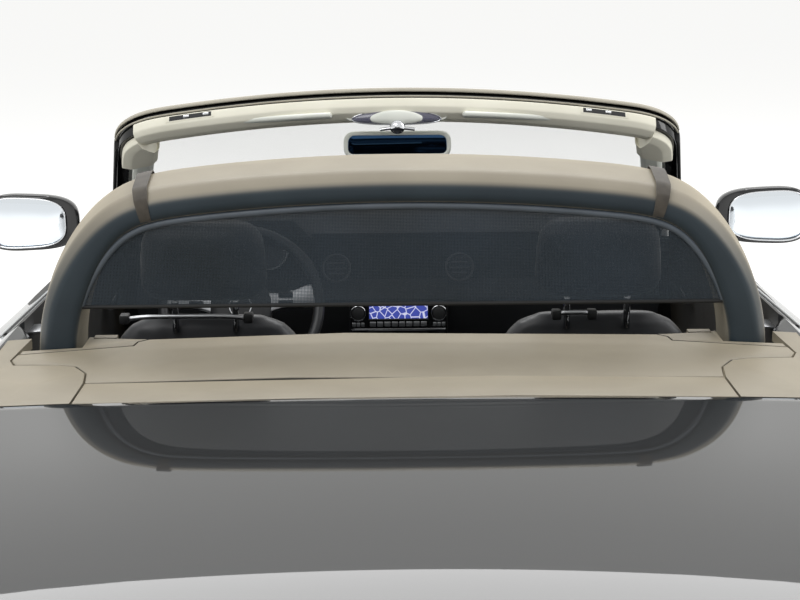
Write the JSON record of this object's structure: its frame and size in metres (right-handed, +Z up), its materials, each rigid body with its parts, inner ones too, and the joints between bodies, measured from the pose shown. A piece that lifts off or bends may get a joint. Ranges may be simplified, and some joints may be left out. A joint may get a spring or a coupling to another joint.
{
  "type": "roadster convertible",
  "caption": "Two-seat roadster convertible with its roof down, raised roll-over hoop, wind deflector, opening doors, bonnet and boot lid, steered front wheels.",
  "frame": {"origin": "on the ground, at the middle of the car's length and width", "axes": "+Y forward along the car, +X to the car's right, +Z up"},
  "size_m": [2.032, 4.5399, 1.2709],
  "materials": {
    "paint": "high gloss black",
    "structure": "satin",
    "tub": "matte",
    "engine": "rough",
    "exhaust": "satin",
    "chassis": "satin",
    "rim": "satin",
    "tyre": "matte",
    "headlamp": "clear",
    "tail_lamp": "gloss",
    "grille": "gloss",
    "hoop": "soft touch",
    "cover": "soft touch",
    "deflector": "open mesh",
    "screen_frame": "gloss",
    "windscreen": "clear",
    "trim": "matte",
    "mirror_housing": "gloss",
    "mirror_glass": "polished",
    "wiper": "matte",
    "dashboard": "grained",
    "leather": "grained"
  },
  "bodies": {
    "body_shell": {"boot_tub": "tub", "centre_console": "dashboard", "cowl_panel": "tub", "dashboard": "dashboard", "engine": "engine", "exhaust": "exhaust", "front_axle": "chassis", "front_bumper": "paint", "grille": "grille", "headlamp_left": "headlamp", "headlamp_right": "headlamp", "hoop_surround_left": "cover", "hoop_surround_right": "cover", "interior_mirror": "mirror_housing", "quarter_left": "paint", "quarter_right": "paint", "rear_axle": "chassis", "rear_bumper": "paint", "rear_partition": "dashboard", "rocker_left": "paint", "rocker_right": "paint", "roll_hoop": "hoop", "roof_cover_corner_left": "cover", "roof_cover_corner_right": "cover", "roof_cover_middle": "cover", "roof_cover_strip": "cover", "seat_left": "leather", "seat_right": "leather", "sun_visors": "trim", "tail_lamp_left": "tail_lamp", "tail_lamp_right": "tail_lamp", "underbody": "structure", "wind_deflector": "deflector", "windscreen": "windscreen", "windscreen_frame": "screen_frame", "windscreen_trim": "trim", "wing_left": "paint", "wing_right": "paint", "wipers": "wiper"},
    "bonnet": {"bonnet": "paint"},
    "boot_lid": {"boot_lid": "paint"},
    "door_left": {"door_left": "paint", "door_mirror_left": "mirror_housing", "mirror_glass_left": "mirror_glass"},
    "door_right": {"door_right": "paint", "door_mirror_right": "mirror_housing", "mirror_glass_right": "mirror_glass"},
    "knuckle_left": {"knuckle_left": "chassis"},
    "knuckle_right": {"knuckle_right": "chassis"},
    "steering_wheel": {"steering_wheel": "leather"},
    "wheel_front_left": {"rim_front_left": "rim", "tyre_front_left": "tyre"},
    "wheel_front_right": {"rim_front_right": "rim", "tyre_front_right": "tyre"},
    "wheel_rear_left": {"rim_rear_left": "rim", "tyre_rear_left": "tyre"},
    "wheel_rear_right": {"rim_rear_right": "rim", "tyre_rear_right": "tyre"}
  },
  "joints": [
    {"name": "bonnet_hinge", "type": "hinge", "parent": "body_shell", "child": "bonnet", "pos_m": [0, 0.77, 0.926], "axis": [1, 0, 0], "range_deg": [0, 50]},
    {"name": "boot_lid_hinge", "type": "hinge", "parent": "body_shell", "child": "boot_lid", "pos_m": [0, -1.342, 0.974], "axis": [-1, 0, 0], "range_deg": [0, 70]},
    {"name": "door_left_hinge", "type": "hinge", "parent": "body_shell", "child": "door_left", "pos_m": [-0.89, 0.6, 0.406], "axis": [0, 0, -1], "range_deg": [0, 62]},
    {"name": "door_right_hinge", "type": "hinge", "parent": "body_shell", "child": "door_right", "pos_m": [0.89, 0.6, 0.406], "axis": [0, 0, 1], "range_deg": [0, 62]},
    {"name": "steering", "type": "hinge", "parent": "body_shell", "child": "steering_wheel", "pos_m": [-0.377, 0.205, 0.745], "axis": [0, -0.9135, 0.4067], "range_deg": [-415, 415]},
    {"name": "steer_left", "type": "hinge", "parent": "body_shell", "child": "knuckle_left", "pos_m": [-0.712, 1.405, 0.33], "axis": [0, 0, 1], "range_deg": [-30, 30]},
    {"name": "steer_right", "type": "hinge", "parent": "body_shell", "child": "knuckle_right", "pos_m": [0.712, 1.405, 0.33], "axis": [0, 0, 1], "range_deg": [-30, 30]},
    {"name": "spin_front_left", "type": "hinge", "parent": "knuckle_left", "child": "wheel_front_left", "pos_m": [-0.78, 1.405, 0.33], "axis": [-1, 0, 0], "continuous": true},
    {"name": "spin_front_right", "type": "hinge", "parent": "knuckle_right", "child": "wheel_front_right", "pos_m": [0.78, 1.405, 0.33], "axis": [-1, 0, 0], "continuous": true},
    {"name": "spin_rear_left", "type": "hinge", "parent": "body_shell", "child": "wheel_rear_left", "pos_m": [-0.765, -1.155, 0.33], "axis": [-1, 0, 0], "continuous": true},
    {"name": "spin_rear_right", "type": "hinge", "parent": "body_shell", "child": "wheel_rear_right", "pos_m": [0.765, -1.155, 0.33], "axis": [-1, 0, 0], "continuous": true}
  ],
  "couplings": [
    {"joint": "steer_right", "follows": "steering", "ratio": 0.0714},
    {"joint": "steer_left", "follows": "steering", "ratio": 0.0714}
  ]
}
